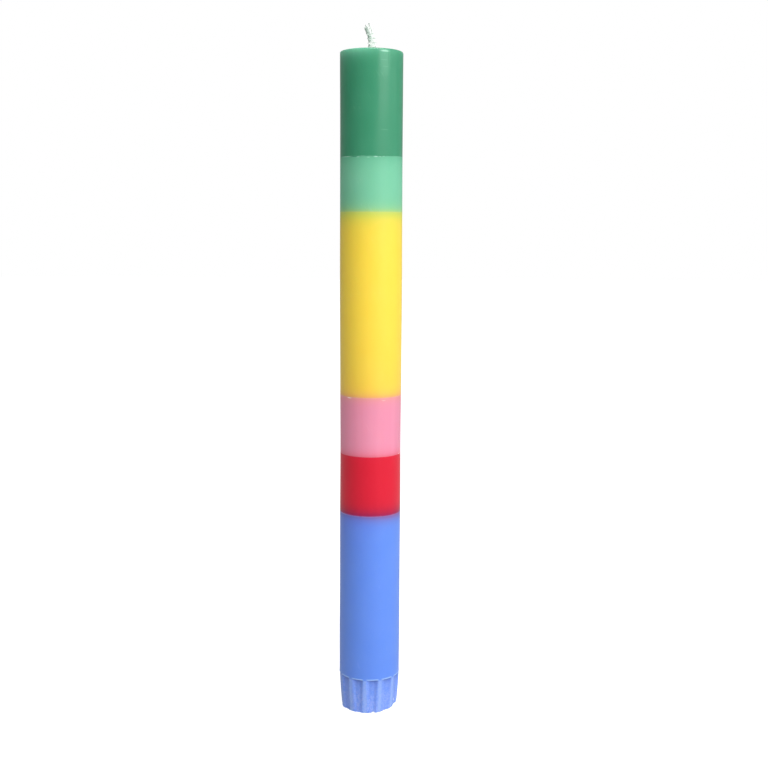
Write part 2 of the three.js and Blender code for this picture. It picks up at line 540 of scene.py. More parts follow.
@dataclass(frozen=True)
class Coat:
    """A finish as it goes on a piece.

    Attributes:
        slot: The record's material slot. It is not used.
        material: The finish's material.
    """

    slot: str
    material: bpy.types.Material

    def settle(self, piece: bpy.types.Object, *nodes: str) -> bpy.types.Object:
        """Puts a finished piece on the candle's body.

        Args:
            piece: The piece.
            nodes: The CAD nodes that it replaces.

        Returns:
            The piece.
        """
        piece.data.materials.append(self.material)
        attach(piece, BODY)
        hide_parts(*nodes)
        return piece


class Finish(Graph):
    """The nodes of a new material, round its Principled shader."""

    def __init__(self, slot: str) -> None:
        """Makes the material.

        Args:
            slot: Its name, which on a piece is also the record's slot.
        """
        self.slot = slot
        self.material = bpy.data.materials.new(slot)
        self.material.use_nodes = True
        super().__init__(self.material.node_tree)

    def coat(self, looks: dict[str, Feed]) -> Coat:
        """Gives the shader its looks and the material its slot."""
        self.feed(self.tree.nodes["Principled BSDF"], looks)
        return Coat(self.slot, self.material)


@dataclass(frozen=True)
class WaxFinish:
    """One colour of dyed wax.

    Attributes:
        slot: The record's material slot.
        colour: The wax's own colour, linear.
        pale: What its bloom and scratches show as.
        roughness: How matt it is.
        clouding: How much bloom it has.
        streaks: How plain the upright streaks are that the mould left.
        gloss: How much it reflects; 0.5 is plain wax.
    """

    slot: str
    colour: Colour
    pale: Colour
    roughness: float = 0.42
    clouding: float = 0.04
    streaks: float = 0.04
    gloss: float = 0.5

    SPECKS = 0.012
    SCRATCHES = 0.09
    SCRATCH_MATT = 0.3
    BUMP_DEPTH = 0.02
    SCATTER = 0.25
    SCATTER_DEPTH = 0.9
    SCATTER_SPREAD = (1.0, 0.7, 0.5)
    WAX_IOR = 1.44

    def coat(self, below: Seam | None, above: Seam | None, patches: Sequence[Patch] = ()) -> Coat:
        """Makes the finish for one band.

        Args:
            below: The seam at the band's lower end, if it has one.
            above: The seam at its upper end, if it has one.
            patches: The other shades on it, the uppermost last.

        Returns:
            The band's coat.
        """
        graph = Finish(self.slot)
        bloom = graph.effect(
            Effect.WAX_BLOOM, Colour=self.bled_and_shaded(graph, below, above), Pale=self.pale,
            Clouding=self.clouding, Specks=self.SPECKS, Streaks=self.streaks,
            Roughness=self.roughness,
        )
        scratch = graph.effect(Effect.HAND_SCRATCHES, Amount=self.SCRATCHES)["Mask"]
        shown = graph.mix(scratch, bloom["Colour"], self.pale)
        rough = scratch * self.SCRATCH_MATT + bloom["Roughness"]
        for patch in patches:
            seen = patch.mask(graph)
            shown = graph.mix(seen, shown, patch.colour)
            rough = seen * patch.matt + rough
        return graph.coat({
            "Base Color": shown,
            "Roughness": rough,
            "Normal": graph.bump(bloom["Height"] - scratch, self.BUMP_DEPTH),
            "IOR": self.WAX_IOR,
            "Specular IOR Level": self.gloss,
            "Subsurface Weight": self.SCATTER,
            "Subsurface Radius": self.SCATTER_SPREAD,
            "Subsurface Scale": self.SCATTER_DEPTH * MM,
        })

    def bled_and_shaded(self, graph: Graph, below: Seam | None, above: Seam | None) -> Feed:
        """Gives the wax's colour with its tints at the seams, one of them a painted shade, and its
        painted highlight lines.

        Args:
            graph: Where the nodes go.
            below: The seam at the lower end.
            above: The seam at the upper end.

        Returns:
            The colour.
        """
        colour: Feed = self.colour
        for seam, side in ((below, Side.ABOVE), (above, Side.BELOW)):
            if seam is None:
                continue
            for bleed_and_shade in seam.over if side is Side.ABOVE else seam.under:
                colour = graph.effect(
                    Effect.SEAM_BLEED, Colour=colour, Tint=bleed_and_shade.tint, Level=seam.level,
                    Side=side.value, Reach=bleed_and_shade.reach, Waver=seam.waver, Share=bleed_and_shade.share,
                    Left=bleed_and_shade.share if bleed_and_shade.left is None else bleed_and_shade.left,
                )["Colour"]
            if seam.line:
                colour = graph.effect(
                    Effect.SEAM_LINE, Colour=colour, Line=seam.line, Width=seam.line_width,
                    Level=seam.level + seam.line_offset, Waver=seam.waver,
                    Strength=seam.line_strength, Patches=seam.patches,
                )["Colour"]
        return colour


@dataclass(frozen=True)
class CottonFinish:
    """Waxed white cotton.

    Attributes:
        slot: The record's material slot.
        colour: The thread's colour, linear.
        shade: Its colour between the fibres, where wax has soaked in.
        painted_shade: Its colour on the left of the stub, a painted shade with a green cast of light
            from the wax.
    """

    slot: str = "wick_cotton"
    colour: Colour = (0.95, 0.98, 0.95)
    shade: Colour = (0.92, 0.96, 0.92)
    painted_shade: Colour = (0.6, 0.71, 0.64)

    # Where the painted shade lies on the stub's left, in millimetres
    PAINTED_SHADE_FOOT = 254.8
    PAINTED_SHADE_LEAN = 0.4
    PAINTED_SHADE_SIDES = (-0.5, 0.3)
    PAINTED_SHADE_STARTS = (252.8, 254.2)
    PAINTED_SHADE_ENDS = (258.0, 259.2)
    FIBRE_STRETCH = (7000.0, 7000.0, 900.0)
    FIBRE_EDGES = (0.35, 0.65)
    ROUGHNESS = 0.8
    BUMP_DEPTH = 0.02

    def coat(self) -> Coat:
        """Makes the finish: streaks along the thread, with a fine bump, and a painted shade on the
        stub's left.

        Returns:
            The wick's coat.
        """
        graph = Finish(self.slot)
        streak = graph.noise(graph.stretched(graph.place(), self.FIBRE_STRETCH), 1.0)
        share = graph.spread(streak, *self.FIBRE_EDGES)
        clean = graph.mix(share, self.shade, self.colour)
        return graph.coat({
            "Base Color": graph.mix(self.painted_shaded(graph), clean, self.painted_shade),
            "Roughness": self.ROUGHNESS,
            "Normal": graph.bump(share, self.BUMP_DEPTH),
        })

    def painted_shaded(self, graph: Graph) -> Value:
        """Finds the painted shade: on the stub's left, as it leans, and not at its ends.

        Args:
            graph: The cotton's nodes.

        Returns:
            How much of the painted shade shows at the point, from 0 to 1.
        """
        x, _, z = graph.parts(graph.place())
        height = z * PER_METRE
        risen = graph.math("MAXIMUM", height - self.PAINTED_SHADE_FOOT, 0.0)
        left = graph.spread(risen * self.PAINTED_SHADE_LEAN + x * PER_METRE, *self.PAINTED_SHADE_SIDES, 1.0, 0.0)
        ended = graph.spread(height, *self.PAINTED_SHADE_ENDS, 1.0, 0.0)
        return left * graph.spread(height, *self.PAINTED_SHADE_STARTS) * ended


class RingSkin:
    """A closed skin over rings of equally many points, each ring joined to the next."""

    SMOOTH_UP_TO = math.radians(48)

    def __init__(self) -> None:
        """Starts with no points."""
        self.points: list[Ring] = []
        self.faces: list[tuple[int, ...]] = []

    def add(self, rings: Sequence[Ring], looped: bool = False) -> None:
        """Adds one closed body, in millimetres.

        Args:
            rings: Its rings in order.
            looped: Whether the last ring joins the first, as on a body with a bore; if not,
                the two end rings are closed by a flat face.
        """
        sides, rows = len(rings[0]), len(rings)
        start = sum(map(len, self.points))
        for row in range(rows if looped else rows - 1):
            low = start + row * sides
            high = start + (row + 1) % rows * sides
            for i in range(sides):
                j = (i + 1) % sides
                self.faces.append((low + i, low + j, high + j, high + i))
        if not looped:
            end = start + (rows - 1) * sides
            self.faces.append(tuple(reversed(range(start, start + sides))))
            self.faces.append(tuple(range(end, end + sides)))
        self.points.extend(rings)

    def build(self, name: str) -> bpy.types.Object:
        """Makes the object.

        Args:
            name: The piece's name.

        Returns:
            The object, linked to the scene.
        """
        mesh = bpy.data.meshes.new(name)
        mesh.from_pydata((np.vstack(self.points) * MM).tolist(), [], self.faces)
        mesh.shade_smooth()
        mesh.set_sharp_from_angle(angle=self.SMOOTH_UP_TO)
        mesh.validate()
        return placed(name, mesh)


@dataclass(frozen=True)
class WaxSurface:
    """The outer surface that all the bands share.

    Attributes:
        limit: The radius that the wax never passes.
        girths: Heights, from the foot up, and the candle's diameter at each.
        bow: How far its middle is bent to the right of its ends, halved.
        sway: How uneven it is round its girth.
    """

    limit: float
    girths: tuple[tuple[float, float], ...] = (
        (14.0, 23.2), (29.0, 23.3), (52.0, 23.13), (80.0, 23.19), (104.0, 23.0), (125.0, 23.13),
        (160.0, 23.33), (215.0, 23.11), (250.0, 23.26),
    )
    bow: float = 0.06
    sway: float = 0.036

    BOW_MIDDLE = 118.0
    BOW_LENGTH = 240.0
    SWAY_GRAIN = (0.045, 3.0)

    def girth(self, height: float) -> float:
        """Gives the mean radius at a height.

        Args:
            height: Millimetres above the base.

        Returns:
            The radius.
        """
        for (low, thin), (high, wide) in zip(self.girths, self.girths[1:]):
            if height <= high:
                break
        return (thin + (wide - thin) * float(smooth_step(height, low, high))) / 2.0

    def radii(self, height: float) -> np.ndarray:
        """Gives the radius at a height, for each bearing."""
        mean = self.girth(height)
        return mean + self.sway * grain(self.ring(height, mean), *self.SWAY_GRAIN)

    def ring(
        self, height: float, radii: np.ndarray | float, bearings: np.ndarray = BEARINGS
    ) -> Ring:
        """Gives the points of a ring round the candle's slightly bowed middle.

        Args:
            height: The ring's height.
            radii: Each point's radius, or the one radius of all.
            bearings: Each point's angle from the front towards +X.

        Returns:
            The ring.
        """
        turn = TURN * (height - self.BOW_MIDDLE) / self.BOW_LENGTH
        x = self.bow * math.cos(turn) + radii * np.sin(bearings)
        y = -radii * np.cos(bearings)
        return level_ring(*np.clip((x, y), -self.limit, self.limit), height)


@dataclass
class WickHole:
    """The oval hole in the wax that the wick fills.

    Attributes:
        offset: How far right of the axis its middle lies.
        half_width: Half its width, from left to right.
        half_depth: Half its depth, from front to back.
    """

    offset: float = 0.1
    half_width: float = 1.75
    half_depth: float = 0.95

    def ring(self, height: float, size: float = 1.0) -> Ring:
        """Gives the hole's edge at a height, with its width and depth times a size."""
        x = self.offset + size * self.half_width * np.sin(BEARINGS)
        return level_ring(x, -size * self.half_depth * np.cos(BEARINGS), height)


@dataclass
class WaxBand:
    """One colour of wax: a closed skin with the wick's hole through it.

    Attributes:
        node: The CAD node that it replaces.
        bottom: The height of its underside.
        top: The height of its top.
        surface: The outer surface that all bands share.
        coat: Its finish.
        hole: The wick's hole.
    """

    node: Band
    bottom: float
    top: float
    surface: WaxSurface
    coat: Coat
    hole: WickHole = field(default_factory=WickHole)

    ROW = 1.0
    EDGE_ROWS = (0.0, 0.12, 0.35, 0.65)
    SEAM_RIM = 3.0
    SEAM_DEPTH = 1.5
    SEAM_GAP = 0.3
    CAP_STEPS = 5

    def skin_top(self) -> float:
        """Gives the height where the outer skin ends."""
        return self.top

    def heights(self) -> list[float]:
        """Gives the height of each row of the outer skin, closer together near the ends.

        Returns:
            The heights, from the bottom up.
        """
        top = self.skin_top()
        low, high = self.bottom + self.ROW, top - self.ROW
        middle = np.linspace(low, high, max(2, round((high - low) / self.ROW)) + 1)
        return [
            *(self.bottom + rise for rise in self.EDGE_ROWS), *middle,
            *(top - drop for drop in reversed(self.EDGE_ROWS)),
        ]

    def skin(self) -> list[Ring]:
        """Gives the rings of the outer skin, from the bottom up."""
        return [self.surface.ring(z, self.surface.radii(z)) for z in self.heights()]

    def seam_cap(self, height: float, depth: float) -> list[Ring]:
        """Gives the rings of a face at a seam, from just inside its flat rim to the hole.

        Args:
            height: The seam's height.
            depth: How far the face rises inside its rim, to a nose or into a dish.

        Returns:
            The rings, from the outside in.
        """
        bowl = self.surface.limit - self.SEAM_RIM
        rings = [self.surface.ring(height, bowl)]
        for _, ring in between(rings[0], self.hole.ring(height), self.CAP_STEPS):
            ring[:, 2] = height + depth * (1.0 - (from_axis(ring) / bowl) ** 2)
            rings.append(ring)
        return rings

    def underside(self, rim: Ring) -> list[Ring]:
        """Gives the rings of the underside, from the outer skin's rim in: a dish in a rim."""
        return self.seam_cap(rim[0, 2], self.SEAM_DEPTH)

    def upside(self, rim: Ring) -> list[Ring]:
        """Gives the rings of the top, from the outer skin's rim in: a nose in a rim."""
        return self.seam_cap(rim[0, 2], self.SEAM_DEPTH - self.SEAM_GAP)

    def build(self) -> bpy.types.Object:
        """Makes the piece in place of its CAD node.

        Returns:
            The piece.
        """
        skin = self.skin()
        body = RingSkin()
        body.add([*reversed(self.underside(skin[0])), *skin, *self.upside(skin[-1])], looped=True)
        return self.coat.settle(body.build(self.node.value.replace("_band", "_wax")), self.node.value)


@dataclass
class RoundedTop(WaxBand):
    """The top band, with a soft shoulder, a low dome and wax drawn up round the wick.

    Attributes:
        shoulder: The shoulder's radius.
        dome: How far the top rises from the shoulder to the wick.
        collar: How far the wax climbs the wick.
    """

    shoulder: float = 0.6
    dome: float = 0.34
    collar: float = 0.36

    SHOULDER_STEPS = 9
    DOME_STEPS = 12
    DOME_EASE = 0.8
    COLLAR_SIZE = 0.7
    COLLAR_REACH = 1.6
    COLLAR_FALL = 3.0
    HOLE_LEVELS = (1.5, 2.5)
    DIMPLE = 0.04
    DIMPLE_GRAIN = (0.35, 11.0)
    # Painted glow: light through the wax near the top's edge, painted as a paler colour
    GLOW_REACH = 1.7
    GLOW_EDGE = (11.65, 249.7)
    GLOW_TURN = (-0.78, 0.56)
    GLOW_SHARE = (1.4, 0.3)

    def skin_top(self) -> float:
        """Gives the height where the shoulder starts."""
        return self.top - self.dome - self.shoulder

    def upside(self, rim: Ring) -> list[Ring]:
        """Gives the rings of the shoulder, the dome and the collar.

        Args:
            rim: The outer skin's highest ring.

        Returns:
            The rings, from the outside in, and two in the hole.
        """
        rings = []
        for turn in np.linspace(0.0, TURN / 4.0, self.SHOULDER_STEPS + 1)[1:]:
            drawn_in = self.shoulder * (1.0 - math.cos(turn))
            height = rim[0, 2] + self.shoulder * math.sin(turn)
            rings.append(self.surface.ring(height, from_axis(rim) - drawn_in))
        edge = rings[-1]
        hole = self.hole.ring(edge[0, 2], self.COLLAR_SIZE)
        for _, ring in between(edge, hole, self.DOME_STEPS, self.DOME_EASE):
            ring[:, 2] += self.rise(ring)
            rings.append(ring)
        sunk, deep = (self.top - depth for depth in self.HOLE_LEVELS)
        return [*rings, self.hole.ring(sunk, self.COLLAR_SIZE), self.hole.ring(deep)]

    def rise(self, ring: Ring) -> np.ndarray:
        """Gives how far the top's points rise above the shoulder.

        Args:
            ring: The points.

        Returns:
            Each point's rise.
        """
        dome = (self.dome - self.collar) * (1.0 - (from_axis(ring) / self.surface.limit) ** 2)
        x = (ring[:, 0] - self.hole.offset) / self.hole.half_width
        y = ring[:, 1] / self.hole.half_depth
        past = np.maximum(0.0, np.hypot(x, y) - self.COLLAR_SIZE) / self.COLLAR_REACH
        climb = self.collar * np.exp(-self.COLLAR_FALL * past)
        return dome + climb + self.DIMPLE * grain(ring, *self.DIMPLE_GRAIN)

    @classmethod
    def painted_rim_glow(cls, graph: Graph) -> Value:
        """Finds the painted glow near the top's edge, on the side and on the top: light through the
        wax, painted as a paler colour, stronger on the left.

        Args:
            graph: The wax's nodes.

        Returns:
            How much of the painted glow shows at the point, from 0 to 1.
        """
        bearing, radius, height = graph.round_place()
        edge, level = cls.GLOW_EDGE
        far = graph.math("MAXIMUM", (edge - radius) + (level - height), 0.0)
        turned = graph.spread(graph.math("SINE", bearing), *cls.GLOW_TURN, *cls.GLOW_SHARE)
        return graph.math("MULTIPLY", graph.fall(far / cls.GLOW_REACH), turned, clamp=True)


@dataclass
class FlutedFoot(WaxBand):
    """The foot band: a taper, and flutes milled into it, deeper at the top than the base.

    Attributes:
        base_radius: The foot's radius at the base.
        taper_height: Where it reaches the full radius.
        flutes: How many there are.
        flute_height: The height of their square tops.
        mouth: A flute's width at the surface.
        floor: Its width at the floor.
        depth_top: How deep it is at the top.
        depth_base: How deep it is at the base.
        turn: How far the first is turned from the front towards +X, in degrees.
        bevel: The base's worn edge.
    """

    base_radius: float = 10.65
    taper_height: float = 13.5
    flutes: int = 12
    flute_height: float = 13.5
    mouth: float = 4.8
    floor: float = 1.5
    depth_top: float = 0.75
    depth_base: float = 0.35
    turn: float = 6.8
    bevel: float = 0.12

    SEED = 12
    FLUTE_SPANS = ((0.93, 1.07), (0.88, 1.1), (-0.07, 0.07), (-0.9, 0.9))
    CHIP_SPANS = ((0.0, 360.0), (0.4, 0.9), (0.15, 0.4), (0.08, 0.2))
    CHIPS = 6
    DEEP_CHIPS = ((10.0, 0.6, 0.7, 0.5), (29.0, 0.3, 0.5, 0.35))
    BEVEL_ROW = 0.4
    FOOT_ROW = 0.3
    LEDGE = 0.07
    LEDGE_ROWS = (-0.28, 0.9)
    TAPER_CURVE = 1.3
    LIP_RISE = 0.35
    LIP_STAND = 0.1
    LIP_WIDTHS = (0.4, 0.55)
    MILLING = 0.05
    COARSE_GRAIN = (1.5, 5.0)
    FINE_GRAIN = (3.4, 8.0)
    FINE_SHARE = 0.6
    PLAIN_SHARE = 0.25
    WEAR = (0.06, 1.2)
    WEAR_HEIGHT = 3.0
    WEAR_TURN = 72.0
    WEAR_CURVE = 1.6
    WEAR_ENDS = (85.0, 165.0)
    WEAR_UNDER = 0.4
    HEEL = (-65.0, 12.0, 0.25, 4.0)
    BASE_STEPS = 10
    BASE_HOLE = 0.85
    HOLE_RISE = 1.5

    # The milled wax's colours: frost, ribs rubbed pale, a painted shadow under the ledges, a painted
    # highlight on the lips, and pale nicks
    FROSTED = (0.48, 0.56, 0.97)
    RUBBED_AND_SHEEN = (0.42, 0.6, 1.0)
    LEDGE_SHADOW = (0.07, 0.12, 0.46)
    LIP_HIGHLIGHT = (0.5, 0.72, 1.0)
    NICKED = (0.85, 0.9, 1.0)
    FROST_MATT = 0.4
    RIB_MATT = 0.3
    FROST_COARSE = (900.0, 3.0)
    FROST_FINE = (1900.0, 2.0)
    COARSE_EDGES = (0.35, 0.68)
    FINE_EDGES = (0.4, 0.66)
    FROST_SHARES = (0.1, 0.16, 0.2)
    FROST_FADE = (3.0, 13.3, 1.1, 0.66)
    FROST_TOP = (-0.1, 0.05)
    WORN_EDGE = (0.2, 1.3)
    WORN_SHARE = 0.1
    RIB_EDGES = (math.radians(0.5), math.radians(6.5))
    RIB_SHARE = 0.4
    RIB_TOP = (-0.7, 0.3)
    # Painted shadow under the flutes' square tops, most on each flute's right half
    SHADE_LEFT = (math.radians(-12.0), math.radians(3.0), 0.1, 0.75)
    SHADE_RIGHT = (math.radians(9.0), math.radians(13.0))
    SHADE_REACH = 1.3
    SHADE_START = (-0.08, 0.05)
    # Painted highlight on the wax pushed up over the ledges
    LIP_SHARE = 0.6
    LIP_START = (-0.1, 0.05)
    LIP_END = (0.2, 0.75)
    NICKS = (
        Mark(9.0, 0.3, 0.7, 0.35, 0.8), Mark(32.0, 0.4, 0.4, 0.35, 0.7),
        Mark(66.0, 3.2, 0.35, 0.6, 0.5),
    )

    def __post_init__(self) -> None:
        """Draws each flute's small differences and each chip in the base's edge."""
        draw = random.Random(self.SEED)
        self.cuts = []
        for i in range(self.flutes):
            width, depth, top, shift = (draw.uniform(*span) for span in self.FLUTE_SPANS)
            across = self.beside(self.turn + shift + 360.0 * i / self.flutes)
            self.cuts.append((across, width, depth, top))
        small = [[draw.uniform(*span) for span in self.CHIP_SPANS] for _ in range(self.CHIPS)]
        self.chips = [(self.beside(at), *sizes) for at, *sizes in (*self.DEEP_CHIPS, *small)]

    def beside(self, degrees: float) -> np.ndarray:
        """Gives how far round the foot each bearing is from a place at that many degrees."""
        return np.abs(wrapped(BEARINGS - math.radians(degrees))) * self.base_radius

    def heights(self) -> list[float]:
        """Gives the rows: fine over the foot, finer at the ledges, then the band's own.

        Returns:
            The heights, from the bottom up.
        """
        start, end = (self.flute_height + offset for offset in self.LEDGE_ROWS)
        foot = np.arange(self.bevel, start, self.FOOT_ROW)
        ledge = np.arange(start, end, self.LEDGE)
        upper = [z for z in super().heights() if z > ledge[-1] + self.FOOT_ROW]
        return [self.bottom, self.bottom + self.BEVEL_ROW * self.bevel, *foot, *ledge, *upper]

    def taper(self, height: float) -> float:
        """Gives how far the foot's ribs are drawn in at a height, by the taper and the bevel.

        Args:
            height: Millimetres above the base.

        Returns:
            How much smaller the radius is.
        """
        full = self.surface.girth(height) - self.base_radius
        tapered = full * fading(height, self.taper_height) ** self.TAPER_CURVE
        return tapered + self.bevel * fading(height, self.bevel) ** 2

    def flute_depth(self, height: float) -> np.ndarray:
        """Gives how deep the flutes are at a height, for each bearing.

        Args:
            height: Millimetres above the base.

        Returns:
            The depths.
        """
        depth = np.zeros(SIDES)
        mean = self.depth_base + (self.depth_top - self.depth_base) * height / self.flute_height
        wall = (self.mouth - self.floor) / 2.0 * mean / self.depth_top
        for across, width, deep, top in self.cuts:
            half = self.floor / 2.0 * width
            ledge = self.flute_height + top
            below = 1.0 - smooth_step(height, ledge - self.LEDGE, ledge + self.LEDGE)
            depth += (1.0 - smooth_step(across, half, half + wall)) * below * mean * deep
        return depth

    def lip(self, height: float) -> np.ndarray:
        """Gives how far the wax that the cutter pushed up stands out, above each flute.

        Args:
            height: Millimetres above the base.

        Returns:
            How far it stands out at each bearing.
        """
        stand = np.zeros(SIDES)
        inner, outer = self.LIP_WIDTHS
        for across, _, _, top in self.cuts:
            over = height - self.flute_height - top - self.LEDGE
            along = fading(abs(over - self.LIP_RISE / 2.0), self.LIP_RISE)
            stand += along * (1.0 - smooth_step(across, self.floor * inner, self.mouth * outer))
        return stand * self.LIP_STAND

    def chipped(self, height: float) -> np.ndarray:
        """Gives how much is chipped off the base's edge at a height, for each bearing."""
        bites = [
            depth * np.maximum(0.0, 1.0 - (across / width) ** 2) * fading(height, rise)
            for across, width, rise, depth in self.chips
        ]
        return np.max(bites, axis=0)

    def wear(self) -> np.ndarray:
        """Gives how far up the base's edge is worn, for each bearing: most at the right."""
        right = np.clip(DEGREES / self.WEAR_TURN, 0.0, 1.0) ** self.WEAR_CURVE
        return self.WEAR[0] + self.WEAR[1] * right * (1.0 - smooth_step(DEGREES, *self.WEAR_ENDS))

    def heel(self, height: float) -> np.ndarray:
        """Gives how far the base's left corner stands out, where it was pressed flat."""
        middle, width, stand, rise = self.HEEL
        return stand * np.exp(-(((DEGREES - middle) / width) ** 2)) * fading(height, rise)

    def skin(self) -> list[Ring]:
        """Makes the outer skin: tapered, fluted, chipped, and rough where it was milled.

        Returns:
            The rings, from the bottom up.
        """
        worn = self.wear()
        rings = []
        for z in self.heights():
            cut = self.flute_depth(z)
            radii = self.surface.radii(z) - self.taper(z) - cut + self.lip(z) - self.chipped(z)
            radii += self.heel(z)
            ring = self.surface.ring(z, radii)
            if z < self.flute_height + self.FOOT_ROW:
                rough = grain(ring, *self.COARSE_GRAIN)
                rough += self.FINE_SHARE * grain(ring, *self.FINE_GRAIN)
                share = self.PLAIN_SHARE + np.clip(cut / self.depth_base, 0.0, 1.0)
                radii += self.MILLING * rough * share
                ring = self.surface.ring(z, np.minimum(radii, self.surface.limit))
            ring[:, 2] += worn * fading(z, self.WEAR_HEIGHT) ** 2
            rings.append(ring)
        return rings

    def underside(self, rim: Ring) -> list[Ring]:
        """Gives the rings of the base, with its worn edge.

        Args:
            rim: The outer skin's lowest ring.

        Returns:
            The rings, from the outside in, and one in the hole.
        """
        rings = []
        hole = self.hole.ring(self.bottom, self.BASE_HOLE)
        for share, ring in between(rim, hole, self.BASE_STEPS):
            ring[:, 2] = self.bottom + self.wear() * fading(share, self.WEAR_UNDER) ** 2
            rings.append(ring)
        return [*rings, self.hole.ring(self.bottom + self.HOLE_RISE)]

    @classmethod
    def across_flute(cls, graph: Graph) -> tuple[Value, Value]:
        """Finds the point in its flute.

        Args:
            graph: The wax's nodes.

        Returns:
            Its angle from the flute's middle, less than 0 to the left, and how far above the
            flutes' tops it is.
        """
        bearing, _, height = graph.round_place()
        half = math.pi / cls.flutes
        across = graph.math("WRAP", bearing - math.radians(cls.turn), half, -half)
        return across, height - cls.flute_height

    @classmethod
    def from_rib(cls, graph: Graph) -> tuple[Value, Value]:
        """Gives the point's angle from the nearest rib's middle, and its height likewise."""
        across, over = cls.across_flute(graph)
        return math.pi / cls.flutes - graph.math("ABSOLUTE", across), over

    @classmethod
    def frost(cls, graph: Graph) -> Value:
        """Finds how frosted the milled wax is: mottled, more so towards the base.

        Args:
            graph: The wax's nodes.

        Returns:
            The share, from 0 to 1.
        """
        point = graph.place()
        height = graph.round_place()[2]
        base, mottle, specks = cls.FROST_SHARES
        coarse = graph.spread(graph.noise(point, *cls.FROST_COARSE), *cls.COARSE_EDGES)
        fine = graph.spread(graph.noise(point, *cls.FROST_FINE), *cls.FINE_EDGES)
        frosted = (coarse * mottle + base + fine * specks) * graph.spread(height, *cls.FROST_FADE)
        worn = graph.spread(height, *cls.WORN_EDGE, 1.0, 0.0) * fine * cls.WORN_SHARE
        below = graph.spread(height - cls.flute_height, *cls.FROST_TOP, 1.0, 0.0)
        return (frosted + worn) * below

    @classmethod
    def ribs(cls, graph: Graph) -> Value:
        """Gives where the ribs are rubbed pale."""
        away, over = cls.from_rib(graph)
        return graph.spread(away, *cls.RIB_EDGES, cls.RIB_SHARE, 0.0) * graph.spread(
            over, *cls.RIB_TOP, 1.0, 0.0)

    @classmethod
    def painted_ledge_shadow(cls, graph: Graph) -> Value:
        """Finds the painted shadow in the flutes, just under their square tops.

        Args:
            graph: The wax's nodes.

        Returns:
            The share, from 0 to 1.
        """
        across, over = cls.across_flute(graph)
        down = over * -1.0
        left = graph.spread(across, *cls.SHADE_LEFT)
        inside = left * graph.spread(across, *cls.SHADE_RIGHT, 1.0, 0.0)
        return graph.fall(down / cls.SHADE_REACH) * graph.spread(down, *cls.SHADE_START) * inside

    @classmethod
    def painted_lip_highlight(cls, graph: Graph) -> Value:
        """Finds the painted highlight on the wax that the cutter pushed up, just over the ledges.

        Args:
            graph: The wax's nodes.

        Returns:
            The share, from 0 to 1.
        """
        away, over = cls.from_rib(graph)
        band = graph.spread(over, *cls.LIP_START) * graph.spread(over, *cls.LIP_END, 1.0, 0.0)
        return band * graph.spread(away, *cls.RIB_EDGES, 0.0, cls.LIP_SHARE)

    @classmethod
    def patches(cls) -> tuple[Patch, ...]:
        """Gives the shades of the milled wax, with a painted shadow under the ledges and a painted
        highlight on the lips, the uppermost last.
        """
        return (
            Patch(cls.frost, cls.FROSTED, cls.FROST_MATT),
            Patch(cls.ribs, cls.RUBBED_AND_SHEEN, cls.RIB_MATT),
            Patch(cls.painted_ledge_shadow, cls.LEDGE_SHADOW),
            Patch(cls.painted_lip_highlight, cls.LIP_HIGHLIGHT),
            *(Patch(nick.mask, cls.NICKED) for nick in cls.NICKS),
        )


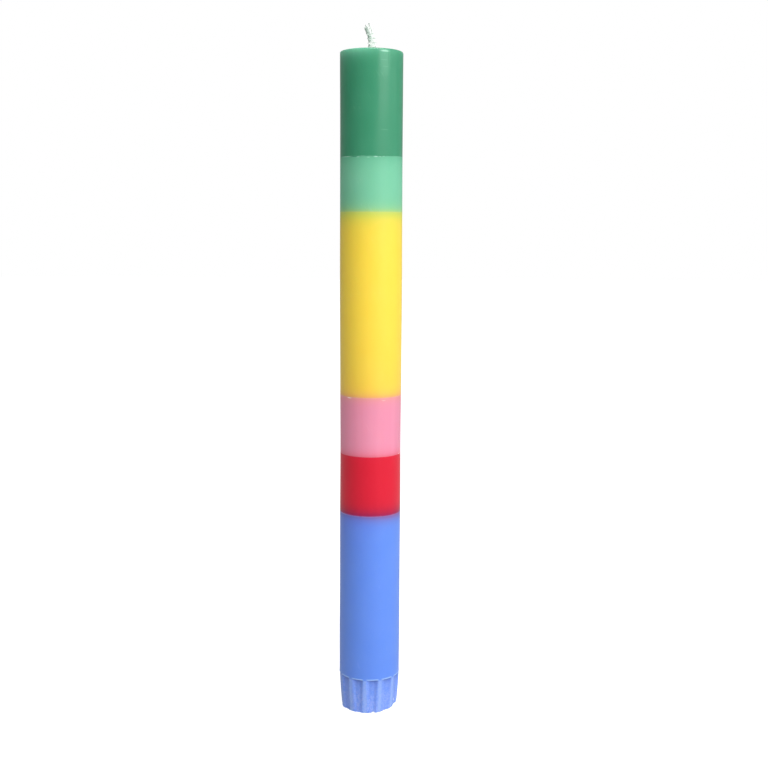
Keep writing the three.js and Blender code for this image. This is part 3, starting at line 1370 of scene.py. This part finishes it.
@dataclass
class PlaitedWick:
    """Three strands of cotton plaited flat, each a twist of thinner threads.

    Attributes:
        foot: The height of the wick's lower end.
        wax_top: The height of the wax round it.
        tip: The height of its highest cut end.
        coat: Its finish.
        offset: How far right of the axis it stands.
        side_swing: How far a strand swings to the side.
        depth_swing: How far it swings forward and back.
        pitch: The length of one full turn of the plait.
        hidden: How much of the plait is drawn below the wax's top.
        loose_end: How much of the cut end has come undone.
        rise: How far the stub goes straight up before it leans.
        lean: How far it leans to the left, in degrees.
        cut_back: How far each strand's end lies below the tip.
        splay: How far each strand's end has sprung to the right.
        strand_half_width: Half of a strand's width.
        strand_half_depth: Half of its thickness.
        threads: How many threads are twisted into a strand.
        thread_radius: A thread's radius.
    """

    foot: float
    wax_top: float
    tip: float
    coat: Coat
    offset: float = 0.1
    side_swing: float = 1.1
    depth_swing: float = 0.45
    pitch: float = 4.8
    hidden: float = 2.7
    loose_end: float = 3.5
    rise: float = 4.6
    lean: float = 21.0
    cut_back: tuple[float, ...] = (0.0, 0.7, 1.4)
    splay: tuple[float, ...] = (0.1, -0.35, -0.05)
    strand_half_width: float = 0.56
    strand_half_depth: float = 0.38
    threads: int = 6
    thread_radius: float = 0.19

    SEED = 7
    STEP = 0.14
    THREAD_SIDES = 10
    CORE_SIDES = 20
    TWIST = 0.9
    FLARE = 0.15
    FLARE_LENGTH = 1.2
    UNEVEN = 0.16
    UNEVEN_STRETCH = 1.5
    BEND = 0.5
    ENDS = 0.2
    END_ROUND = 0.05
    END_SIZE = 0.45
    CORE = (0.54, 0.36)
    HEART = (1.38, 0.66)
    HEART_DROP = 2.0
    # How many loose fibres there are, and of how many one is at a cut end
    FUZZ = 5
    FUZZ_AT_TIP = 3
    FUZZ_RADIUS = 0.016
    FUZZ_ROOT = 0.8
    FUZZ_CURL = (-0.4, 0.4)
    FUZZ_CLEAR = (0.6, 0.3)
    SIDE_LENGTH = (0.25, 0.7)
    SIDE_RISE = (-0.3, 0.9)
    TIP_DROP = 0.15
    TIP_LENGTH = (0.3, 0.5)
    TIP_RISE = 0.25
    FUZZ_RINGS = 5
    FUZZ_SIDES = 5
    FUZZ_THINNING = 0.6

    def centre(self, height: float) -> float:
        """Gives how far right of the axis the wick's middle is at a height."""
        leaning = math.log1p(math.exp((height - self.wax_top - self.rise) / self.BEND))
        return self.offset - self.BEND * leaning * math.tan(math.radians(self.lean))

    def strand_point(self, strand: int, height: float) -> tuple[float, float]:
        """Gives the middle of a strand at a height.

        Args:
            strand: Which strand, from 0.
            height: Millimetres above the base.

        Returns:
            Its x and y.
        """
        low, loose = self.wax_top - self.hidden, self.tip - self.loose_end
        plaited = min(max(height, low), loose) - low
        phase = TURN * (strand / len(self.cut_back) + plaited / self.pitch)
        apart = float(smooth_step(height, loose, self.tip)) * self.splay[strand]
        x = self.centre(height) + self.side_swing * math.cos(phase) + apart
        return x, self.depth_swing * math.sin(2.0 * phase)

    def thread_section(
        self, strand: int, thread: int, top: float, height: float
    ) -> tuple[float, float, float, float]:
        """Gives one thread's section at a height, twisted with the others round its strand.

        Args:
            strand: Which strand, from 0.
            thread: Which thread of it, from 0.
            top: Where the thread ends.
            height: Millimetres above the base.

        Returns:
            Its middle's x and y, and half its width and its depth.
        """
        x, y = self.strand_point(strand, height)
        twisted = max(0.0, height - (self.wax_top - self.hidden))
        twist = TURN * thread / self.threads + self.TWIST * twisted
        loose = 1.0 + self.FLARE * float(smooth_step(height, top - self.FLARE_LENGTH, top))
        x += loose * (self.strand_half_width - self.thread_radius) * math.cos(twist)
        y += loose * (self.strand_half_depth - self.thread_radius) * math.sin(twist)
        uneven = noise.noise((x, y + thread, height * self.UNEVEN_STRETCH))
        size = self.thread_radius * (1.0 + self.UNEVEN * uneven)
        return x, y, size, size

    def tube(
        self, top: float, sides: int, section: Callable[[float], tuple[float, ...]]
    ) -> list[Ring]:
        """Gives the rings of one body of the wick, from its foot to its rounded cut end.

        Args:
            top: Where its last full ring lies.
            sides: How many points a ring has.
            section: Gives its middle's x and y and half its width and depth at a height.

        Returns:
            The rings, from the bottom up.
        """
        low = self.wax_top - self.hidden
        rings = []
        for z in (self.foot, *np.linspace(low, top, math.ceil((top - low) / self.STEP))):
            x, y, half_width, half_depth = section(z)
            across, deep = half_width * np.cos(turns(sides)), half_depth * np.sin(turns(sides))
            rings.append(level_ring(x + across, y + deep, z))
        middle = rings[-1].mean(0)
        end = middle + (rings[-1] - middle) * self.END_SIZE
        end[:, 2] += self.END_ROUND
        return [*rings, end]

    def build(self) -> list[bpy.types.Object]:
        """Makes the strands, with a smooth core in each and one heart, and their loose fibres.

        Returns:
            The pieces.
        """
        draw = random.Random(self.SEED)
        pieces = []
        for strand, cut in enumerate(self.cut_back):
            body = RingSkin()
            for thread in range(self.threads):
                top = self.tip - cut - self.END_ROUND - draw.uniform(0.0, self.ENDS)
                body.add(self.tube(
                    top, self.THREAD_SIDES, lambda z: self.thread_section(strand, thread, top, z)
                ))
            body.add(self.tube(
                self.tip - cut - self.ENDS, self.CORE_SIDES,
                lambda z: (*self.strand_point(strand, z), *self.CORE),
            ))
            if strand == 0:
                body.add(self.tube(
                    self.tip - self.HEART_DROP, self.CORE_SIDES,
                    lambda z: (self.centre(z), 0.0, *self.HEART),
                ))
            piece = body.build(f"wick_threads_{strand + 1}")
            pieces.append(self.coat.settle(piece, f"wick_strand_{strand + 1}"))
        return [*pieces, self.fuzz(draw)]

    def fuzz(self, draw: random.Random) -> bpy.types.Object:
        """Makes the loose fibres: short along the stub, and longer at the cut ends.

        Args:
            draw: The source of their places and bends.

        Returns:
            The piece.
        """
        body = RingSkin()
        low, high = self.FUZZ_CLEAR
        for i in range(self.FUZZ):
            at_tip = i % self.FUZZ_AT_TIP == 0
            strand = draw.randrange(len(self.cut_back))
            top = self.tip - self.cut_back[strand]
            z = top - self.TIP_DROP if at_tip else draw.uniform(self.wax_top + low, top - high)
            bearing = draw.uniform(0.0, TURN)
            out = Vector((math.cos(bearing), math.sin(bearing), 0.0))
            side = Vector((out.x * self.strand_half_width, out.y * self.strand_half_depth, 0.0))
            start = Vector((*self.strand_point(strand, z), z)) + side * self.FUZZ_ROOT
            length = draw.uniform(*(self.TIP_LENGTH if at_tip else self.SIDE_LENGTH))
            rise = Vector((0.0, 0.0, self.TIP_RISE if at_tip else draw.uniform(*self.SIDE_RISE)))
            curl = Vector([draw.uniform(*self.FUZZ_CURL) for _ in range(3)])
            body.add(self.fibre(start, out + rise, curl, length))
        return self.coat.settle(body.build("wick_fuzz"))

    def fibre(self, start: Vector, way: Vector, curl: Vector, length: float) -> list[Ring]:
        """Gives the rings of one loose fibre.

        Args:
            start: Where it leaves its strand.
            way: The way it points.
            curl: How it bends.
            length: Its length.

        Returns:
            The rings.
        """
        across = way.orthogonal().normalized()
        other = way.normalized().cross(across)
        rings = []
        for step in range(self.FUZZ_RINGS):
            share = step / (self.FUZZ_RINGS - 1)
            point = start + (way.normalized() + curl * share) * (length * share)
            point.z = min(point.z, self.tip - self.FUZZ_RADIUS)
            size = self.FUZZ_RADIUS * (1.0 - self.FUZZ_THINNING * share)
            rings.append(np.array([
                point + across * (size * math.cos(turn)) + other * (size * math.sin(turn))
                for turn in turns(self.FUZZ_SIDES)
            ]))
        return rings


@dataclass
class SeamBeads:
    """Small beads of wax squeezed out along a seam.

    Attributes:
        name: The piece's name.
        surface: The wax's outer surface.
        coat: Their finish.
        marks: Where they lie and how large they are.
    """

    name: str
    surface: WaxSurface
    coat: Coat
    marks: Sequence[Mark]

    SIDES = 10
    RINGS = 6
    STAND = 0.06

    def build(self) -> bpy.types.Object:
        """Makes the beads as one piece.

        Returns:
            The piece.
        """
        body = RingSkin()
        for mark in self.marks:
            body.add(self.bead(mark))
        return self.coat.settle(body.build(self.name))

    def bead(self, mark: Mark) -> list[Ring]:
        """Gives the rings of one bead, from its left end to its right.

        Args:
            mark: Where it lies and how large it is.

        Returns:
            The rings.
        """
        radius = self.surface.girth(mark.level)
        around = turns(self.SIDES)
        rings = []
        for step in range(self.RINGS):
            along = -math.cos(math.pi * (step + 0.5) / self.RINGS)
            size = math.sqrt(1.0 - along**2)
            at = np.full(self.SIDES, math.radians(mark.bearing) + along * mark.half_width / radius)
            ring = self.surface.ring(mark.level, radius + self.STAND * size * np.cos(around), at)
            ring[:, 2] += mark.half_height * size * np.sin(around)
            rings.append(ring)
        return rings


@dataclass
class Candle:
    """The whole candle, laid out from the frame.

    Attributes:
        surface: The wax's outer surface.
    """

    surface: WaxSurface = field(
        default_factory=lambda: WaxSurface(limit=CAD_BOX[1].x * PER_METRE)
    )

    FINISHES = {
        Band.BLUE: WaxFinish("blue_wax", (0.115, 0.269, 0.844), (0.3, 0.45, 0.98)),
        Band.RED: WaxFinish(
            "red_wax", (0.69, 0.0065, 0.03), (0.86, 0.014, 0.05), roughness=0.38, streaks=0.2,
            gloss=0.33,
        ),
        Band.PINK: WaxFinish("pink_wax", (0.81, 0.262, 0.398), (0.95, 0.5, 0.62), streaks=0.16),
        Band.YELLOW: WaxFinish("yellow_wax", (0.985, 0.695, 0.054), (1.0, 0.85, 0.2)),
        Band.MINT: WaxFinish("mint_wax", (0.175, 0.552, 0.343), (0.45, 0.8, 0.62)),
        Band.GREEN: WaxFinish(
            "green_wax", (0.0437, 0.28, 0.148), (0.2, 0.52, 0.34), roughness=0.27
        ),
    }
    MINT = FINISHES[Band.MINT].colour
    GREEN = FINISHES[Band.GREEN].colour
    PALE_GREEN = (0.35, 0.78, 0.54)
    # Painted glints: pale spots along the seams where light catches small lips and beads of wax
    MINT_GLINT = (0.6, 0.92, 0.78)
    LILAC_GLINT = (0.6, 0.5, 0.85)
    PEACH_GLINT = (1.0, 0.86, 0.78)
    PINK_GLINT = (1.0, 0.75, 0.8)
    PINK_DYE = (0.81, 0.268, 0.403)
    YELLOW_DYE = (0.985, 0.695, 0.11)
    DULL = Patch(Mark(33.0, 216.0, 5.5, 13.0, 0.9).mask, GREEN, 0.2)
    # Painted glow near the top's edge
    PAINTED_RIM_GLOW = Patch(RoundedTop.painted_rim_glow, (0.225, 0.7, 0.455))
    # Painted highlight on the shoulder: a bright spot where the light is reflected
    PAINTED_SHOULDER_HIGHLIGHT = Patch(Mark(24.5, 248.62, 1.7, 0.34, 0.5).mask, (0.6, 1.0, 0.8))
    # Painted sheen under the shoulder: a pale streak that stands in for the light's reflection
    RUBBED_AND_SHEEN = Patch(Mark(26.0, 246.3, 2.2, 6.0, 0.1).mask, PALE_GREEN)
    SCRATCH = Patch(Mark(31.5, 246.0, 0.13, 2.6, 0.35).mask, (0.03, 0.2, 0.11))
    LINES = (Mark(24.0, 245.5, 1.6, 0.12, 0.11), Mark(27.0, 243.2, 1.2, 0.1, 0.11),
             Mark(25.0, 221.0, 1.5, 0.15, 0.12))
    # Beads of wax along the green seam; on the mint they are painted pale, as glints
    BEADS = (Mark(-24.0, -0.35, 0.6, 0.15, 0.35), Mark(-5.0, -0.5, 0.55, 0.13, 0.35),
             Mark(8.5, -0.28, 0.75, 0.17, 0.55), Mark(16.0, -0.3, 0.45, 0.12, 0.3),
             Mark(23.0, -0.12, 0.5, 0.1, 0.3))
    GREEN_LAPS = (Mark(-31.0, 0.0, 2.4, 0.32, 1.0), Mark(-3.0, 0.0, 2.2, 0.08, 1.0),
                  Mark(19.0, 0.0, 1.8, 0.14, 1.0))
    MINT_LAP = Mark(65.0, 0.0, 5.0, 0.18, 0.9)
    # Where the painted glints lie along the seams
    MINT_EDGE = Mark(-52.0, -0.12, 2.6, 0.13, 0.45)
    PINK_DASHES = (Mark(-42.4, -0.3, 1.05, 0.2, 0.85), Mark(26.0, -1.0, 0.8, 0.16, 0.3))
    PINK_SPOT = Mark(72.3, 0.1, 0.9, 0.22, 0.7)
    LILAC_EDGE = Mark(-60.0, -0.2, 2.0, 0.15, 0.35)

    def level(self, band: Band) -> float:
        """Gives the height of a band's underside, in millimetres."""
        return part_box(band.value)[0].z * PER_METRE

    def seams(self) -> dict[Band, Seam]:
        """Gives each seam, by the band above it."""
        return {
            Band.RED: Seam(
                self.level(Band.RED), 0.25,
                under=(BleedAndShade((0.71, 0.046, 0.137), 0.6, 1.45, left=0.3),
                       BleedAndShade((0.058, 0.04, 0.29), 0.4, 0.4),
                       # Painted shade: the blue turns darker and deeper on the candle's left, under
                       # the red seam
                       BleedAndShade((0.1, 0.1, 0.7), 0.0, 12.0, left=0.2)),
                over=(BleedAndShade((0.115, 0.013, 0.31), 0.62, 1.75),),
                # Painted highlight: a pale lilac line along the seam
                line=(0.66, 0.42, 0.8), line_offset=-0.1, line_strength=0.2, patches=0.4,
            ),
            Band.PINK: Seam(
                self.level(Band.PINK), 0.2,
                under=(BleedAndShade(self.PINK_DYE, 0.2, 0.6),),
                over=(BleedAndShade((0.70, 0.0045, 0.01), 0.23, 1.2),),
            ),
            Band.YELLOW: Seam(
                self.level(Band.YELLOW), 0.3,
                under=(BleedAndShade((0.985, 0.695, 0.054), 0.2, 1.4),),
                over=(BleedAndShade((0.92, 0.585, 0.065), 0.75, 14.0),
                      BleedAndShade(self.PINK_DYE, 0.55, 1.25)),
                # Painted highlight: a pale peach line along the seam
                line=(1.0, 0.72, 0.55), line_width=0.25, patches=0.9,
            ),
            Band.MINT: Seam(
                self.level(Band.MINT), 0.4,
                under=(BleedAndShade(self.MINT, 0.38, 2.35), BleedAndShade(self.MINT, 0.06, 8.0),
                       BleedAndShade((0.95, 0.7, 0.35), 0.25, 0.4)),
                over=(BleedAndShade(self.YELLOW_DYE, 0.45, 1.56),
                      BleedAndShade(self.YELLOW_DYE, 0.17, 0.6)),
            ),
            Band.GREEN: Seam(
                self.level(Band.GREEN), 0.2,
                under=(BleedAndShade(self.GREEN, 0.33, 2.4),),
                over=(BleedAndShade(self.MINT, 0.1, 0.3),),
                # Painted highlight: a pale mint line along the seam
                line=(0.5, 0.85, 0.68), line_width=0.14, line_strength=0.12,
            ),
        }

    def on_seam(self, band: Band, *marks: Mark) -> tuple[Mark, ...]:
        """Gives marks, whose levels are from the seam under a band, at their real heights."""
        return tuple(replace(mark, level=mark.level + self.level(band)) for mark in marks)

    def dabs(self, band: Band, colour: Colour, *marks: Mark) -> tuple[Patch, ...]:
        """Gives marks beside the seam under a band as patches of one colour."""
        return tuple(Patch(mark.mask, colour) for mark in self.on_seam(band, *marks))

    def patches(self) -> dict[Band, tuple[Patch, ...]]:
        """Gives the other shades on each band, with the painted glow, highlight, sheen, shadow and
        glints among them, the uppermost last.
        """
        return {
            Band.BLUE: (*FlutedFoot.patches(), *self.dabs(Band.RED, self.LILAC_GLINT, self.LILAC_EDGE)),
            Band.PINK: (*self.dabs(Band.YELLOW, self.PEACH_GLINT, *self.PINK_DASHES),
                        *self.dabs(Band.PINK, self.PINK_GLINT, self.PINK_SPOT)),
            Band.MINT: (*self.dabs(Band.GREEN, self.GREEN, *self.GREEN_LAPS),
                        *self.dabs(Band.GREEN, self.MINT_GLINT, self.MINT_EDGE, *self.BEADS)),
            Band.GREEN: (self.DULL, self.PAINTED_RIM_GLOW, self.PAINTED_SHOULDER_HIGHLIGHT, self.RUBBED_AND_SHEEN, self.SCRATCH,
                         *(Patch(line.mask, self.PALE_GREEN) for line in self.LINES),
                         *self.dabs(Band.GREEN, self.MINT, self.MINT_LAP)),
        }

    def build(self) -> list[bpy.types.Object]:
        """Builds the wax from the foot up, the beads on its top seam, and the wick.

        Returns:
            Every piece.
        """
        order = list(Band)
        seams, patches = self.seams(), self.patches()
        coats = {
            band: self.FINISHES[band].coat(seams.get(band), seams.get(above), patches.get(band, ()))
            for band, above in zip(order, [*order[1:], None])
        }
        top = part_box(Band.GREEN.value)[1].z * PER_METRE
        levels = [*map(self.level, order), top]
        kinds = {Band.BLUE: FlutedFoot, Band.GREEN: RoundedTop}
        pieces = [
            kinds.get(band, WaxBand)(band, bottom, upper, self.surface, coats[band]).build()
            for band, bottom, upper in zip(order, levels, levels[1:])
        ]
        beads = self.on_seam(Band.GREEN, *self.BEADS)
        pieces.append(SeamBeads("seam_beads", self.surface, coats[Band.MINT], beads).build())
        foot, tip = (corner.z * PER_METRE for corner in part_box("wick_strand_1"))
        return [*pieces, *PlaitedWick(foot, top, tip, CottonFinish().coat()).build()]


@dataclass(frozen=True)
class PhotoCamera:
    """The camera that took the photograph, in the candle's frame.

    Attributes:
        distance: How far in front of the candle's axis it stands.
        height: Its height above the candle's base.
        aside: How far right of the axis it stands.
        tilt: How far it looks down, in degrees.
        roll: How far it is turned about its own view, in degrees.
        focal: Its focal length, in pixels of the photograph.
        frame: The photograph's width, in pixels.
        sensor: The sensor's width that the focal length is given for.
        clip: The nearest and the farthest that it sees, in metres.
    """

    distance: float = 436.42
    height: float = 184.89
    aside: float = 5.131
    tilt: float = 7.564
    roll: float = 0.327
    focal: float = 1156.6
    frame: float = 768.0
    sensor: float = 36.0
    clip: tuple[float, float] = (0.01, 50.0)

    def build(self) -> bpy.types.Object:
        """Makes the scene's camera.

        Returns:
            The camera.
        """
        data = bpy.data.cameras.new("photo_camera")
        data.sensor_width = self.sensor
        data.lens = self.sensor * self.focal / self.frame
        data.clip_start, data.clip_end = self.clip
        camera = placed("photo_camera", data)
        camera.location = Vector((self.aside, -self.distance, self.height)) * MM
        facing = Euler((math.radians(90.0 - self.tilt), 0.0, 0.0)).to_quaternion()
        turned = Euler((0.0, 0.0, math.radians(self.roll))).to_quaternion()
        camera.rotation_mode = "QUATERNION"
        camera.rotation_quaternion = facing @ turned
        bpy.context.scene.camera = camera
        return camera


@dataclass(frozen=True)
class SoftLight:
    """One rectangular studio light that faces the candle.

    Attributes:
        name: Its name.
        bearing: Where it stands, in degrees from the front towards +X.
        elevation: How far above the candle's middle it is, in degrees.
        distance: How far away it is, in metres.
        width: Its width in metres.
        height: Its height in metres.
        power: Its power in watts.
    """

    name: str
    bearing: float
    elevation: float
    distance: float
    width: float
    height: float
    power: float

    def build(self, aim: Vector) -> bpy.types.Object:
        """Makes the light.

        Args:
            aim: The point that it faces.

        Returns:
            The light.
        """
        data = bpy.data.lights.new(self.name, "AREA")
        data.shape = "RECTANGLE"
        data.size, data.size_y = self.width, self.height
        data.energy = self.power
        turn, rise = math.radians(self.bearing), math.radians(self.elevation)
        level = math.cos(rise)
        way = Vector((math.sin(turn) * level, -math.cos(turn) * level, math.sin(rise)))
        light = placed(self.name, data)
        light.location = aim + way * self.distance
        light.rotation_mode = "QUATERNION"
        light.rotation_quaternion = (-way).to_track_quat("-Z", "Y")
        return light


@dataclass(frozen=True)
class Studio:
    """A plain white table under soft light.

    Attributes:
        ambient: How bright the white room is on the candle, in front of it and at its sides.
        behind: How bright the room is behind the candle.
        behind_turn: Where the room passes from one to the other, front to back from -1 to 1.
        backdrop: How bright it looks to the camera.
        floor_half: Half the floor's width, in metres.
        floor_white: How much light the floor gives back.
        floor_matt: How matt it is.
        floor_glow: How bright the floor's own light looks to the camera.
        floor_fill: How bright it is on the candle.
        lights: The studio lights.
    """

    ambient: float = 0.04
    behind: float = 0.33
    behind_turn: tuple[float, float] = (-0.2, 0.7)
    backdrop: float = 1.0
    floor_half: float = 4.0
    floor_white: float = 0.35
    floor_matt: float = 0.9
    floor_glow: float = 1.0
    floor_fill: float = 0.53
    lights: tuple[SoftLight, ...] = (
        SoftLight("key_light", 47.0, 17.0, 1.6, 1.12, 0.68, 7.2),
        SoftLight("side_light", 86.0, 17.0, 1.6, 0.9, 0.7, 2.1),
        SoftLight("high_light", 24.0, 50.0, 1.6, 1.3, 1.0, 23.9),
    )

    def build(self) -> None:
        """Makes the room, the floor and the lights."""
        bpy.context.scene.view_settings.view_transform = "Standard"
        bpy.context.scene.world = self.room()
        self.floor()
        for light in self.lights:
            light.build((CAD_BOX[0] + CAD_BOX[1]) / 2.0)

    def room(self) -> bpy.types.World:
        """Makes the white room: pure white to look at, and softer as light.

        Returns:
            The room's world.
        """
        world = bpy.data.worlds.new("white_room")
        world.use_nodes = True
        graph = Graph(world.node_tree)
        _, back, _ = graph.parts(graph.value("ShaderNodeTexCoord", output="Generated"))
        bright = graph.spread(back, *self.behind_turn, self.ambient, self.behind)
        light = world.node_tree.nodes["Background"]
        graph.feed(light, {"Color": WHITE, "Strength": bright})
        seen = graph.value("ShaderNodeBackground", {"Color": WHITE, "Strength": self.backdrop})
        looked_at = graph.value("ShaderNodeLightPath", output="Is Camera Ray")
        choice = {0: looked_at, 1: Value(graph, light.outputs[0]), 2: seen}
        shown = graph.value("ShaderNodeMixShader", choice)
        graph.feed(world.node_tree.nodes["World Output"], {"Surface": shown})
        return world

    def floor(self) -> None:
        """Makes the floor, a sheet of white acrylic with a little light under it."""
        half = self.floor_half
        corners = [(-half, -half, 0.0), (half, -half, 0.0), (half, half, 0.0), (-half, half, 0.0)]
        mesh = bpy.data.meshes.new("white_table")
        mesh.from_pydata(corners, [], [(0, 1, 2, 3)])
        graph = Finish("white_table")
        looked_at = graph.value("ShaderNodeLightPath", output="Is Camera Ray")
        coat = graph.coat({
            "Base Color": (self.floor_white,) * 3,
            "Roughness": self.floor_matt,
            "Emission Color": WHITE,
            "Emission Strength": looked_at * (self.floor_glow - self.floor_fill) + self.floor_fill,
        })
        mesh.materials.append(coat.material)
        table = placed("white_table", mesh)


def main() -> None:
    """Builds the camera, the studio and the candle, and reports each piece."""
    logging.basicConfig(level=logging.INFO, format="%(name)s: %(message)s")
    PhotoCamera().build()
    Studio().build()
    SharedEffects().build()
    for piece in Candle().build():
        LOG.info("%s: %d points", piece.name, len(piece.data.vertices))


if __name__ == "__main__":
    main()
